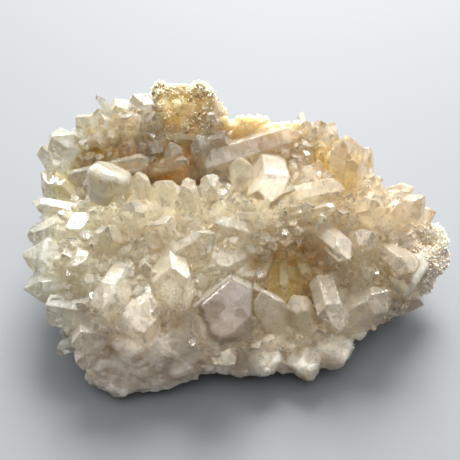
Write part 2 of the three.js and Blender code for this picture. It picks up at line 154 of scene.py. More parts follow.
# x, y, z of the foot, degrees off upright, the way it leans in degrees from X towards Y,
# width, free length, grade and, where it matters, how far it's turned about its own axis
LARGE = (
    # along the back ridge
    (-40, 36, 43, 38, 142, 3, 11, "clear"),
    (-38, 41, 43, 25, 250, 9, 7, "cloudy"),
    (-31, 42, 45, 30, 200, 8, 6, "cloudy"),
    (-35, 35, 41, 25, 275, 7, 9, "cloudy"),
    (-43, 35, 41, 22, 150, 7, 7, "clear"),
    (-47, 36, 39, 35, 200, 9, 9, "clear"),
    (-56, 31, 36, 30, 240, 9, 9, "clear"),
    (-60, 27, 32, 14, 170, 6, 9, "clear"),
    (-57, 24, 31, 26, 150, 7, 8, "clear"),
    # lying in the trough before it
    (-50, 22, 33, 80, 10, 5, 22, "clear"),
    (-27, 27, 32, 70, 350, 5, 12, "clear"),
    # the left flank, pointing outwards
    (-57, 18, 29, 42, 160, 8, 8, "clear"),
    (-52, 10, 29, 78, 176, 5.5, 12.5, "clear"),
    (-55, 3, 24, 66, 190, 12, 9, "clear"),
    (-54, -5, 23, 76, 186, 13, 11, "cloudy"),
    (-53, -12, 20, 80, 196, 10, 10, "clear"),
    (-50, -18, 19, 74, 214, 9, 8, "clear"),
    (-46, 1, 29, 40, 215, 8, 10, "cloudy"),
    (-45, -9, 27, 50, 250, 8, 10, "clear"),
    # the big milky crystal and those beside it
    (-39, 12, 32, 15, 270, 15, 17, "milky", 30),
    (-28, 9, 33, 10, 180, 6, 13, "clear"),
    (-30, -1, 33, 10, 240, 6, 12, "clear"),
    (-38, -8, 31, 12, 310, 6, 11, "clear"),
    (-38, -10, 29, 75, 310, 5, 11, "clear"),
    # the lip over the front
    (-24, -10, 27, 55, 5, 7, 20, "cloudy"),
    (-20, -9, 27, 78, 280, 11, 18, "clear"),
    (-35, -15, 26, 72, 257, 12, 15, "cloudy"),
    (-28, -17, 25, 85, 280, 6, 11, "clear"),
    # the front
    (-51, -22, 18.5, 85, 345, 10, 14, "clear", 0),
    (-31, -22, 20, 62, 285, 13, 13, "cloudy"),
    (-40, -28, 17, 58, 232, 8, 11, "clear"),
    (-41, -31, 12, 66, 225, 7, 8.5, "clear"),
    # blunt ones grown together on the toe
    (-40, -34, 10, 58, 235, 12, 3, "massive"),
    (-28, -36, 9, 62, 268, 14, 3.5, "massive"),
    (-17, -34, 8, 60, 292, 12, 3.5, "massive"),
    (-35, -32, 15, 38, 262, 11, 3, "massive"),
    (-22, -31, 15, 42, 285, 13, 3, "massive"),
    (-11, -31, 8, 70, 300, 9, 4, "massive"),
    # the widest one, over the toe, and those on the shelf to its right
    # painted shade: this crystal's grade paints it a darker grey for the shade it lies in under the lip
    (-5, -21, 19, 57, 266, 19, 13, "grey", 20),
    (-4, -29, 12, 80, 270, 5, 8, "milky"),
    (8, -32, 8, 60, 280, 11, 4, "massive"),
    (12, -23, 12, 20, 150, 9, 14, "clear"),
    (20, -24, 11, 30, 120, 8, 13, "clear"),
    (18, -32, 8, 60, 262, 12, 4, "massive"),
    (28, -29, 9, 60, 300, 11, 4, "massive"),
    (27, -17, 20, 82, 276, 8, 12, "clear"),
    (33, -20, 13, 48, 5, 12, 14, "clear"),
    (36, -14, 18, 25, 20, 6, 10, "clear"),
    # the cave's roof, with needles hanging forwards
    (14, -4, 22, 100, 270, 3, 10, "cloudy"),
    (19, -3, 22, 95, 285, 4, 9, "cloudy"),
    (9, -4, 23, 95, 250, 4, 10, "cloudy"),
    (4, -5, 23, 80, 240, 5, 10, "cloudy"),
    # the right shoulder
    (25, 1, 30, 68, 292, 6.5, 18, "clear"),
    (30, -2, 28, 30, 185, 5, 13, "clear"),
    (18, 10, 35, 60, 345, 8, 15, "clear"),
    (18, 3, 34, 60, 350, 5, 12, "clear"),
    (34, 17, 33, 5, 120, 11, 18, "cloudy"),
    (39, 25, 31, 20, 20, 5, 10, "clear"),
    (47, 17, 28, 55, 350, 6, 10, "clear"),
    (48, 4, 28, 30, 5, 7, 14, "cloudy"),
    (54, 10, 24, 50, 350, 6, 9, "clear"),
    (40, 4, 30, 10, 250, 8, 13, "clear"),
    (35, -6, 26, 20, 350, 7, 12, "clear"),
    (46, -5, 25, 65, 290, 9, 13, "cloudy"),
    (54, -6, 20, 80, 235, 8, 12, "milky"),
    # the middle ridge
    (9, 25, 32, 70, 272, 13, 24, "clear"),
    (-6, 29, 34, 75, 8, 9, 26, "cloudy"),
    (2, 14, 32, 10, 155, 6, 14, "clear"),
    (-8, 28, 28, 20, 160, 7, 15, "clear"),
    (-12, 31, 30, 30, 10, 6, 14, "clear"),
    (-19, 27, 28, 15, 150, 6, 12, "clear"),
    (-22, 7, 33, 5, 190, 6, 12, "clear"),
    (-13, 5, 33, 15, 195, 6, 12, "clear"),
    (-7, 9, 32, 10, 170, 6, 13, "clear"),
    (3, -1, 30, 55, 190, 6, 12, "clear"),
    (-1, -6, 26, 72, 225, 7, 12, "clear"),
)
# how far the edges have worn round, as a share of the width
WEAR = {"clear": 0.05, "cloudy": 0.07, "grey": 0.06, "milky": 0.22, "massive": 0.14}


def on_loop(corners, turn):
    """Points on a smooth closed line through the corners, for an array of turns from 0 to 1."""
    corners = np.asarray(corners, float)
    place = (np.asarray(turn, float) % 1) * len(corners)
    first = np.floor(place).astype(int)
    part = (place - first)[..., None]
    before, start, end, after = (corners[(first + step) % len(corners)] for step in (-1, 0, 1, 2))
    out = (end - before) / 2
    home = (after - start) / 2
    square = (3 * (end - start) - 2 * out - home) * part**2
    cube = (2 * (start - end) + out + home) * part**3
    return start + out * part + square + cube


def rim_at(turn):
    return on_loop([row[:3] for row in RIM], turn)


def foot_at(turn):
    corners = []
    for x, y, _, tuck in RIM:
        share = 1 - tuck / math.hypot(x - HEART[0], y - HEART[1])
        corners.append((HEART[0] + (x - HEART[0]) * share, HEART[1] + (y - HEART[1]) * share, 0))
    return on_loop(corners, turn)


def plateau_height(x, y):
    height = np.full(x.shape, float(PLATEAU))
    for start, end, across, rise in RELIEF:
        run = np.subtract(end, start)
        share = ((x - start[0]) * run[0] + (y - start[1]) * run[1]) / (run @ run)
        share = np.clip(share, 0, 1)
        away = np.hypot(x - start[0] - share * run[0], y - start[1] - share * run[1])
        height = height + rise * np.exp(-((away / across) ** 2))
    return height


def bump(x, y, z):
    """Bumps a few millimetres wide, from crossed waves."""
    broad = np.sin(0.31 * x + 1.7 * np.sin(0.23 * y)) * np.sin(0.29 * y + 0.35 * z)
    fine = np.sin(0.83 * x - 0.6 * z) * np.sin(0.77 * y + 1.1 * np.sin(0.5 * x))
    return 0.65 * broad + 0.35 * fine


def smoothstep(value, low, high):
    share = np.clip((value - low) / (high - low), 0, 1)
    return share * share * (3 - 2 * share)


def rock_points(out, turn):
    """The rock's surface in mm: out runs from 0 at the heart over 1 at the rim to 2 at the foot."""
    out, turn = np.broadcast_arrays(np.asarray(out, float), np.asarray(turn, float))
    rim = rim_at(turn)
    x = HEART[0] + (rim[..., 0] - HEART[0]) * out
    y = HEART[1] + (rim[..., 1] - HEART[1]) * out
    edge = smoothstep(out, RIM_BLEND, 1)
    z = plateau_height(x, y) * (1 - edge) + rim[..., 2] * edge
    z = z + ROUGHNESS * np.minimum(1, 3 * out) * bump(x, y, z)
    top = np.stack((x, y, z), -1)
    down = np.clip(out - 1, 0, 1)
    side = rim + (foot_at(turn) - rim) * (down**OVERHANG)[..., None]
    side[..., 2] = rim[..., 2] * (1 - down)
    flat = side[..., :2] / np.linalg.norm(side[..., :2], axis=-1, keepdims=True)
    rough = SIDE_ROUGHNESS * np.sin(math.pi * down) * bump(*np.moveaxis(side, -1, 0))
    side[..., :2] += flat * rough[..., None]
    return np.where((out <= 1)[..., None], top, side)


def new_object(name, mesh):
    thing = bpy.data.objects.new(name, mesh)
    bpy.context.scene.collection.objects.link(thing)
    return thing


def wrap(shape):
    """Wraps a shape's corners in their hull, and drops those left inside it."""
    hull = bmesh.ops.convex_hull(shape, input=shape.verts)
    inner = {v for v in hull["geom_interior"] if isinstance(v, bmesh.types.BMVert)}
    bmesh.ops.delete(shape, geom=list(inner), context="VERTS")


def mesh_from(shape, name):
    mesh = bpy.data.meshes.new(name)
    shape.to_mesh(mesh)
    shape.free()
    return mesh


def hull_of(corners):
    """The closed mesh, in metres, that wraps a block's corners."""
    shape = bmesh.new()
    for corner in corners:
        shape.verts.new(Vector(corner) * MM)
    wrap(shape)
    return mesh_from(shape, "block")


DRAW_FACTOR = 1664525
DRAW_STEP = 1013904223
DRAW_RANGE = 2**32


def stream(seed):
    """A repeatable stream of numbers from 0 to 1, by a linear congruential generator."""
    state = seed
    while True:
        state = (state * DRAW_FACTOR + DRAW_STEP) % DRAW_RANGE
        yield state / DRAW_RANGE


def axis_of(lean, towards):
    lean, towards = math.radians(lean), math.radians(towards)
    return Vector((math.sin(lean) * math.cos(towards), math.sin(lean) * math.sin(towards), math.cos(lean)))


def facing(slope, around):
    """Which way a face looks, from its slope off the upright Y axis and its angle round it."""
    return math.sin(slope) * math.sin(around), math.cos(slope), math.sin(slope) * math.cos(around)


def crystal_planes(width, free, root, minor_faces, draw, spin=None):
    """A crystal's face planes round an upright Y axis: each one's normal and distance."""
    any_spin = next(draw) * 2 * math.pi
    spin = any_spin if spin is None else spin
    sides = []
    ends = []
    for side in range(6):
        around = spin + side * math.pi / 3
        minor = minor_faces if side % 2 else 0
        sides.append((facing(math.pi / 2, around), width / 2 * (1 + UNEVEN * (2 * next(draw) - 1))))
        over = width * (minor + LOPSIDED * next(draw))
        ends.append((facing(FACE_SLOPE, around), free * math.cos(FACE_SLOPE) + over))
    return [((0, -1, 0), root)] + sides + ends


NEARLY_PARALLEL = 1e-4
ON_THE_FACE = 1e-3  # mm


def corners_behind(planes):
    """The corners of the solid that lies behind every one of the planes."""
    normals = np.array([normal for normal, distance in planes])
    distances = np.array([distance for normal, distance in planes])
    triples = np.array(list(itertools.combinations(range(len(planes)), 3)))
    a, b, c = (normals[triples[:, i]] for i in range(3))
    da, db, dc = (distances[triples[:, i]][:, None] for i in range(3))
    volume = (a * np.cross(b, c)).sum(1)
    meets = np.abs(volume) > NEARLY_PARALLEL
    crossings = np.cross(b, c) * da + np.cross(c, a) * db + np.cross(a, b) * dc
    points = crossings[meets] / volume[meets][:, None]
    return points[(points @ normals.T <= distances + ON_THE_FACE).all(1)]


FEWEST_POINTS = 36
POINTS_PER_MM = 40
GOLDEN_TURN = math.pi * (1 + math.sqrt(5))


def worn_corners(planes, radius):
    """The same solid's corners once its edges have been rounded to a radius.

    Each corner becomes a ball of points spread evenly, and a wider ball has more of them."""
    steps = int(FEWEST_POINTS + POINTS_PER_MM * radius)
    step = np.arange(steps) + 0.5
    height = 1 - 2 * step / steps
    around = GOLDEN_TURN * step
    flat = np.sqrt(1 - height**2)
    ball = np.stack((flat * np.cos(around), flat * np.sin(around), height), -1)
    inner = corners_behind([(normal, distance - radius) for normal, distance in planes])
    return (inner[:, None, :] + radius * ball[None, :, :]).reshape(-1, 3)


SAME_CORNER = 0.02  # mm
SIDE_RISE = 0.3  # a side's normal rises less than this along the crystal
END_REACH = 0.1  # an end's normal reaches less than this out from its axis
UV_LENGTH = 10  # mm of crystal for each 1 of its UV map
U_SHIFT = 3  # by the tone, so that no two crystals have the same bands
V_SHIFT = 7


def crystal_mesh(corners, foot, axis, free, tone, haze):
    """One closed crystal. Its corners know how far along it they are, its tone and its haze."""
    shape = bmesh.new()
    along = shape.verts.layers.float.new("along")
    tones = shape.verts.layers.float.new("tone")
    hazes = shape.verts.layers.float.new("haze")
    side = shape.faces.layers.float.new("side")
    uv = shape.loops.layers.uv.new("UVMap")
    for corner in corners:
        shape.verts.new(corner)
    bmesh.ops.remove_doubles(shape, verts=shape.verts, dist=SAME_CORNER)
    wrap(shape)
    bmesh.ops.recalc_face_normals(shape, faces=shape.faces)
    turn = Vector((0, 1, 0)).rotation_difference(axis)
    for face in shape.faces:
        face[side] = 1.0 if abs(face.normal.y) < SIDE_RISE else 0.0
        across = Vector((0, 1, 0)).cross(face.normal)
        across = across.normalized() if across.length > END_REACH else Vector((1, 0, 0))
        for loop in face.loops:
            place = loop.vert.co
            u = place.dot(across) / UV_LENGTH + U_SHIFT * tone
            v = place.y / UV_LENGTH + V_SHIFT * tone
            loop[uv].uv = (u, v)
    for corner in shape.verts:
        corner[along] = min(max(corner.co.y / free, 0), 1)
        corner[tones] = tone
        corner[hazes] = haze
        corner.co = (turn @ corner.co + Vector(foot)) * MM
    return mesh_from(shape, "crystal")


TOP_RINGS = 60
SIDE_RINGS = 24
RING_STEPS = 260


def corner_at(ring, step):
    """The number of a corner of the rock's mesh, where rings are counted from 1."""
    return 1 + (ring - 1) * RING_STEPS + step % RING_STEPS


def rock_mesh():
    rings = TOP_RINGS + SIDE_RINGS
    outs = [ring / TOP_RINGS for ring in range(1, TOP_RINGS + 1)]
    outs += [1 + ring / SIDE_RINGS for ring in range(1, SIDE_RINGS + 1)]
    turns = np.arange(RING_STEPS) / RING_STEPS
    grid = rock_points(np.array(outs)[:, None], turns[None, :]).reshape(-1, 3)
    places = [tuple(rock_points(0, 0))] + [tuple(p) for p in grid] + [(HEART[0], HEART[1], 0)]
    under = len(places) - 1
    faces = []
    for step in range(RING_STEPS):
        faces.append((0, corner_at(1, step), corner_at(1, step + 1)))
        faces.append((under, corner_at(rings, step + 1), corner_at(rings, step)))
        for ring in range(1, rings):
            near = (corner_at(ring, step), corner_at(ring + 1, step))
            far = (corner_at(ring + 1, step + 1), corner_at(ring, step + 1))
            faces.append(near + far)
    mesh = bpy.data.meshes.new("rock")
    mesh.from_pydata([Vector(p) * MM for p in places], [], faces)
    return mesh


def finished(thing):
    """A copy of the object's mesh with its modifiers worked in, which takes their place."""
    bpy.context.view_layer.update()
    done = bpy.data.meshes.new_from_object(thing.evaluated_get(bpy.context.evaluated_depsgraph_get()))
    thing.modifiers.clear()
    thing.data = done
    return thing


def grown_together(name, meshes):
    """All the closed meshes as one closed mesh, with nothing of one left inside another."""
    others = bpy.data.collections.new("others")
    for mesh in meshes[1:]:
        others.objects.link(bpy.data.objects.new("other", mesh))
    whole = new_object(name, meshes[0])
    join = whole.modifiers.new("join", "BOOLEAN")
    join.operation = "UNION"
    join.solver = "MANIFOLD"
    join.operand_type = "COLLECTION"
    join.collection = others
    finished(whole)
    for other in list(others.objects):
        bpy.data.objects.remove(other)
    bpy.data.collections.remove(others)
    return whole


ROCK_GRAIN = 0.75  # mm between the corners of the finished rock's mesh
ROCK_SMOOTHING = 0.5
SMOOTHING_PASSES = 5
MASSIVE_TONE = 0.5
MASSIVE_HAZE = 1.0
SMALL_TRIES = 2500
NUMBERS_EACH = 7  # two for a crystal's place, three for its lean, then its width and length

draw = stream(7)
scattered = np.array([[next(draw) for _ in range(NUMBERS_EACH)] for _ in range(SMALL_TRIES)])
large = []
large_corners = []
for x, y, z, lean, towards, width, free, grade, *spin in LARGE:
    turned = math.radians(spin[0]) if spin else None
    large.append((np.array((x, y, z), float), np.array(axis_of(lean, towards)), width, free, grade))
    planes = crystal_planes(width, free, ROOT, MINOR_FACES, draw, turned)
    large_corners.append(worn_corners(planes, WEAR[grade] * width))
lumps = [hull_of(corners) for corners in (AMBER_BLOCK, RIGHT_POINT, FRONT_TOE)]
for (foot, axis, width, free, grade), corners in zip(large, large_corners):
    if grade == "massive":
        lumps.append(crystal_mesh(corners, foot, Vector(axis), free, MASSIVE_TONE, MASSIVE_HAZE))
rock = grown_together("massive_quartz", [rock_mesh()] + lumps)
remesh = rock.modifiers.new("even", "REMESH")
remesh.mode = "VOXEL"
remesh.voxel_size = ROCK_GRAIN * MM
worn = rock.modifiers.new("worn", "SMOOTH")
worn.factor = ROCK_SMOOTHING
worn.iterations = SMOOTHING_PASSES
finished(rock)


def corners_of(mesh):
    places = np.empty(len(mesh.vertices) * 3)
    mesh.vertices.foreach_get("co", places)
    return places.reshape(-1, 3)


def normals_of(mesh):
    normals = np.empty(len(mesh.vertices) * 3)
    mesh.vertex_normals.foreach_get("vector", normals)
    return normals.reshape(-1, 3)


MOST_LIFT = 0.0009  # m
FOOT_BAND = (0.0003, 0.003)  # m above the table, from the flat foot to fully broken
TOE_BAND = (-0.034, -0.026)  # m along Y, from the worn toe to the rest
TOE_SHARE = 0.4
AT_ONCE = 4000  # corners whose nearest piece is looked up at a time


def break_surface(mesh, pieces, tilt, step, seed):
    """Splits the surface into broken facets, each tilted its own way and stepped from the next.

    The toe in front has worn smooth, so it's less stepped, and the foot stays flat."""
    chance = np.random.RandomState(seed)
    places = corners_of(mesh)
    seeds = places[chance.choice(len(places), pieces, replace=False)]
    leans = chance.normal(0, tilt, (pieces, 3))
    steps = chance.uniform(-step, step, pieces)
    normals = normals_of(mesh)
    nearest = np.empty(len(places), int)
    for start in range(0, len(places), AT_ONCE):
        some = places[start : start + AT_ONCE]
        away = ((some[:, None, :] - seeds[None, :, :]) ** 2).sum(-1)
        nearest[start : start + AT_ONCE] = away.argmin(1)
    lift = ((places - seeds[nearest]) * leans[nearest]).sum(1) + steps[nearest]
    lift = np.clip(lift, -MOST_LIFT, MOST_LIFT)
    above = smoothstep(places[:, 2], *FOOT_BAND)
    above *= TOE_SHARE + (1 - TOE_SHARE) * smoothstep(places[:, 1], *TOE_BAND)
    places += normals * (lift * above)[:, None]
    places[:, 2] = np.maximum(places[:, 2], 0)
    mesh.vertices.foreach_set("co", places.ravel())
    mesh.update()


break_surface(rock.data, pieces=220, tilt=0.14, step=0.0005, seed=3)
break_surface(rock.data, pieces=2200, tilt=0.32, step=0.00014, seed=4)


class Wire:
    """One output in a node tree. Sums written with wires add Math nodes to the tree."""

    def __init__(self, tree, socket=None):
        self.tree = tree
        self.socket = socket

    def node(self, kind, settings=None, values=None, output=0):
        """A new node: its settings are set first, then its sockets, by name or number."""
        made = self.tree.nodes.new(kind)
        for name, setting in (settings or {}).items():
            setattr(made, name, setting)
        for name, value in (values or {}).items():
            if isinstance(value, Wire):
                self.tree.links.new(value.socket, made.inputs[name])
            else:
                made.inputs[name].default_value = value
        return Wire(self.tree, made.outputs[output])

    def maths(self, operation, *values):
        return self.node("ShaderNodeMath", {"operation": operation}, dict(enumerate(values)))

    def __add__(self, other):
        return self.maths("ADD", self, other)

    def __sub__(self, other):
        return self.maths("SUBTRACT", self, other)

    def __mul__(self, other):
        return self.maths("MULTIPLY", self, other)

    def __truediv__(self, other):
        return self.maths("DIVIDE", self, other)

    def __radd__(self, other):
        return self.maths("ADD", other, self)

    def __rsub__(self, other):
        return self.maths("SUBTRACT", other, self)

    def __rmul__(self, other):
        return self.maths("MULTIPLY", other, self)

    def __rtruediv__(self, other):
        return self.maths("DIVIDE", other, self)

    def ramp(self, low, high):
        """0 below low, 1 above high and smooth between."""
        settings = {"interpolation_type": "SMOOTHSTEP"}
        return self.node("ShaderNodeMapRange", settings, {"Value": self, "From Min": low, "From Max": high})

    def colours(self, first, second):
        """The first colour where this is 0 and the second where it is 1."""
        settings = {"data_type": "RGBA"}
        return self.node("ShaderNodeMix", settings, {0: self, 6: first, 7: second}, output=2)


def colour(red, green, blue):
    """An sRGB colour, 0 to 255, as the linear values that sockets take."""
    shares = [value / 255 for value in (red, green, blue)]
    return (*(v / 12.92 if v <= 0.04045 else ((v + 0.055) / 1.055) ** 2.4 for v in shares), 1)


def new_material(name):
    material = bpy.data.materials.new(name)
    material.use_nodes = True
    tree = material.node_tree
    tree.nodes.clear()
    output = tree.nodes.new("ShaderNodeOutputMaterial")
    return material, Wire(tree), output


def place_of(wire):
    return wire.node("ShaderNodeTexCoord", output="Object")


def coordinate(place, axis):
    """How far a place lies along X, Y or Z."""
    return place.node("ShaderNodeSeparateXYZ", None, {0: place}, output=axis)


def attribute_of(wire, name):
    return wire.node("ShaderNodeAttribute", {"attribute_name": name}, output="Fac")


def vector_maths(operation, first, second, output="Vector"):
    return first.node("ShaderNodeVectorMath", {"operation": operation}, {0: first, 1: second}, output)


def noise_at(place, scale, detail, roughness):
    values = {"Vector": place, "Scale": scale, "Detail": detail, "Roughness": roughness}
    return place.node("ShaderNodeTexNoise", None, values)


def nearness(place, spots):
    """1 in the middle of the nearest spot and 0 at its edge: each is a middle in mm and a reach."""
    nearest = None
    for middle, reach in spots:
        near = 1 - vector_maths("DISTANCE", place, Vector(middle) * MM, output="Value") / (reach * MM)
        nearest = near if nearest is None else place.maths("MAXIMUM", nearest, near)
    return nearest


# Where iron has stained the quartz: a middle in mm, and how far the stain reaches.
STAINS = (
    ((15, -8, 18), 17),
    ((-19, 41, 46), 12),
    ((-40, 26, 30), 14),
    ((-22, 26, 30), 12),
    ((32, 24, 36), 12),
    ((-58, 20, 30), 9),
)


def stain_mask(place):
    """1 in the middle of each stain, falling to 0 at its edge, broken up by noise."""
    patches = noise_at(place, scale=140, detail=4, roughness=0.6)
    return (nearness(place, STAINS) + (patches - 0.5) * 1.1).ramp(0.05, 0.75)


REFRACTION = 1.544
CREAM = colour(240, 231, 210)
DEEP_CREAM = colour(230, 216, 188)
FRONT_GREY = colour(226, 213, 194)
FRONT_BROWN = colour(188, 170, 146)
BACK_TAN = colour(184, 162, 120)
AMBER = colour(252, 226, 162)
# Metres along Y from where each starts to where it is full.
FRONT_TO_MIDDLE = (-0.036, -0.014)
MIDDLE_TO_BACK = (0.014, 0.034)
IRON_FADES = (0.038, 0.045)
IRON_LOST = 0.7  # the share of the stain that fades


def massive_quartz():
    """Cream with clouds in it, greyer in front, tan behind and amber where iron has stained it."""
    material, wire, output = new_material("massive quartz")
    place = place_of(wire)
    back = coordinate(place, "Y")
    clouds = noise_at(place, scale=60, detail=5, roughness=0.55)
    patches = noise_at(place, scale=190, detail=4, roughness=0.6).ramp(0.4, 0.62)
    body = clouds.ramp(0.35, 0.65).colours(CREAM, DEEP_CREAM)
    front = patches.colours(FRONT_GREY, FRONT_BROWN)
    body = (1 - back.ramp(*FRONT_TO_MIDDLE)).colours(body, front)
    body = back.ramp(*MIDDLE_TO_BACK).colours(body, BACK_TAN)
    iron = stain_mask(place) * (1 - IRON_LOST * back.ramp(*IRON_FADES))
    stained = iron.colours(body, AMBER)
    grain = noise_at(place, scale=900, detail=4, roughness=0.65)
    veins = noise_at(place, scale=260, detail=6, roughness=0.6)
    height = veins + grain * 0.5
    surface = wire.node("ShaderNodeBump", None, {"Strength": 0.7, "Distance": 0.0004, "Height": height})
    shader = wire.node("ShaderNodeBsdfPrincipled", None, {
        "Base Color": stained,
        "Roughness": 0.32 + 0.25 * clouds,
        "IOR": REFRACTION,
        "Normal": surface,
        "Subsurface Weight": 0.8,
        "Subsurface Radius": (0.016, 0.014, 0.011),
        "Subsurface Scale": 1.0,
        "Coat Weight": 0.35,
        "Coat Roughness": 0.12,
    })
    wire.tree.links.new(shader.socket, output.inputs["Surface"])
    return material


rock.data.materials.clear()
rock.data.materials.append(massive_quartz())
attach(rock, "root")
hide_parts("quartz_cluster")


# ---- The crystals ---------------------------------------------------------------
# Six-sided quartz crystals that grew out of the rock and into each other. Their ends
# have three large and three small faces at quartz's own slope, their sides are finely
# ribbed across, and most are cloudy at the root and clear at the tip.

# Where no crystals grow: a middle seen from above, a radius, and the height it holds above.
BARE = (
    ((-18, 41), 10, 30),
    ((-17, 35), 9, 28),
    ((12, 38), 9, 30),
    ((0, 40), 8, 30),
    ((60, -1), 10, 0),
    ((-24, -41), 15, 0),
    ((15, -13), 9, 0),
)


# Steps outwards and round to two places nearby, which show how the rock slopes at a crystal.
STEP_OUT = 0.02
STEP_ROUND = 0.01
MIDDLE_LEAN = (0.5, 0.5, 0.3)  # the last is lower, so they lean up more often than down


def crystals_on_rock(numbers, reach, spread, wide, free, grade):
    """Crystals at chance places: a row of seven numbers gives each its place, its lean and its size."""
    out = reach * np.sqrt(numbers[:, 0])
    here = rock_points(out, numbers[:, 1])
    outwards = rock_points(out + STEP_OUT, numbers[:, 1]) - here
    along = rock_points(out, numbers[:, 1] + STEP_ROUND) - here
    axes = np.cross(outwards, along)
    axes /= np.linalg.norm(axes, axis=1, keepdims=True)
    axes += spread * (numbers[:, 2:5] - MIDDLE_LEAN)
    axes /= np.linalg.norm(axes, axis=1, keepdims=True)
    widths = wide[0] + (wide[1] - wide[0]) * numbers[:, 5]
    frees = free[0] + (free[1] - free[0]) * numbers[:, 6]
    return list(zip(here, axes, widths, frees, [grade] * len(here)))


BEHIND = 36  # mm, past which a crystal stands behind the back ridge


def is_bare(foot, low, low_behind):
    """True below a height, which is another one behind the back ridge, and in a bare place."""
    if foot[2] < (low_behind if foot[1] > BEHIND else low):
        return True
    return any(
        foot[2] > above and math.hypot(foot[0] - middle[0], foot[1] - middle[1]) < radius
        for middle, radius, above in BARE
    )


def tip_of(crystal):
    foot, axis, width, free, grade = crystal
    return foot + axis * free


def with_room(candidates, taken, clearance, low, low_behind):
    """Those candidates that stand clear of all the crystals before them."""
    feet = [foot for foot, axis, width, free, grade in taken]
    runs = [np.asarray(axis) * free for foot, axis, width, free, grade in taken]
    widths = [width for foot, axis, width, free, grade in taken]
    kept = []
    for crystal in candidates:
        foot, axis, width, free, grade = crystal
        if is_bare(foot, low, low_behind):
            continue
        run = np.array(runs)
        away = foot - np.array(feet)
        share = np.clip((away * run).sum(1) / (run * run).sum(1), 0, 1)
        room = np.linalg.norm(away - run * share[:, None], axis=1)
        if (room < clearance * (np.array(widths) + width)).any():
            continue
        kept.append(crystal)
        feet.append(foot)
        runs.append(axis * free)
        widths.append(width)
    return kept


HAZE = {"clear": 0.12, "cloudy": 0.5, "grey": 0.25, "milky": 1.1}
# painted shade: a tone above 1 marks the widest crystal, which is painted a darker grey as shade
SHADED_CRYSTAL_TONE = 2.0  # the others have a tone from 0, warm, to 1, cool
MILK_WARM = colour(252, 245, 226)
MILK_COOL = colour(248, 247, 240)
MILK_RIGHT = colour(252, 230, 198)
MILK_LEFT = colour(240, 242, 226)
MILK_FRONT = colour(246, 238, 228)
# painted shade: the widest crystal's darker grey stands in for the shade of the lip over it
PAINTED_SHADE_GREY = colour(172, 159, 152)
MILK_TIP = colour(146, 126, 98)
MILK_DOME = colour(250, 249, 232)
CHIP_AND_HIGHLIGHT_WHITE = colour(255, 254, 250)
# painted highlight: the white of the crystals' edges, partly chipping and mostly a stand-in for the
# window's glint on them
CONTOUR_BROWN = colour(140, 112, 74)
FLECK_BROWN = colour(84, 62, 38)
STAIN = colour(240, 221, 160)
STAIN_SHARE = 0.6
# Dark inclusions behind the widest crystal's front face: a middle in mm, and a reach.
INCLUSIONS = (((-7.8, -28, 28), 4.6), ((1, -28, 27.5), 2.8))
INCLUSION = colour(122, 98, 66)
# Metres along X or Y from where a tint starts to where it is full, or the other way round.
RIGHT_BAND = (-0.005, 0.045)
LEFT_BAND = (-0.06, -0.02)
FRONT_BAND = (-0.034, -0.016)
RIGHT_SHARE = 0.4
LEFT_SHARE = 0.4
FRONT_SHARE = 0.7
CONTOUR_LINES = 7.0
CONTOUR_WIDTH = 0.07
CRACK_CLOUD = 0.9
# painted highlight: how far the edges turn milky, partly as chips and mostly as a stand-in for edge glint
EDGE_CHIP_AND_HIGHLIGHT_CLOUD = 0.5
RIDGE_CLOUD = 0.75
CLOUD_TRANSMISSION = 0.65
CLEAR_TRANSMISSION = 0.82
TINT = (0.955, 0.92, 0.80, 1)
TINT_DENSITY = 20
EDGE_RADIUS = 0.00035
BAND_SIZE = (2.5, 9.0, 1.0)
RIB_SIZE = (0.35, 9.0, 1.0)
BAND_LEAN = 0.25


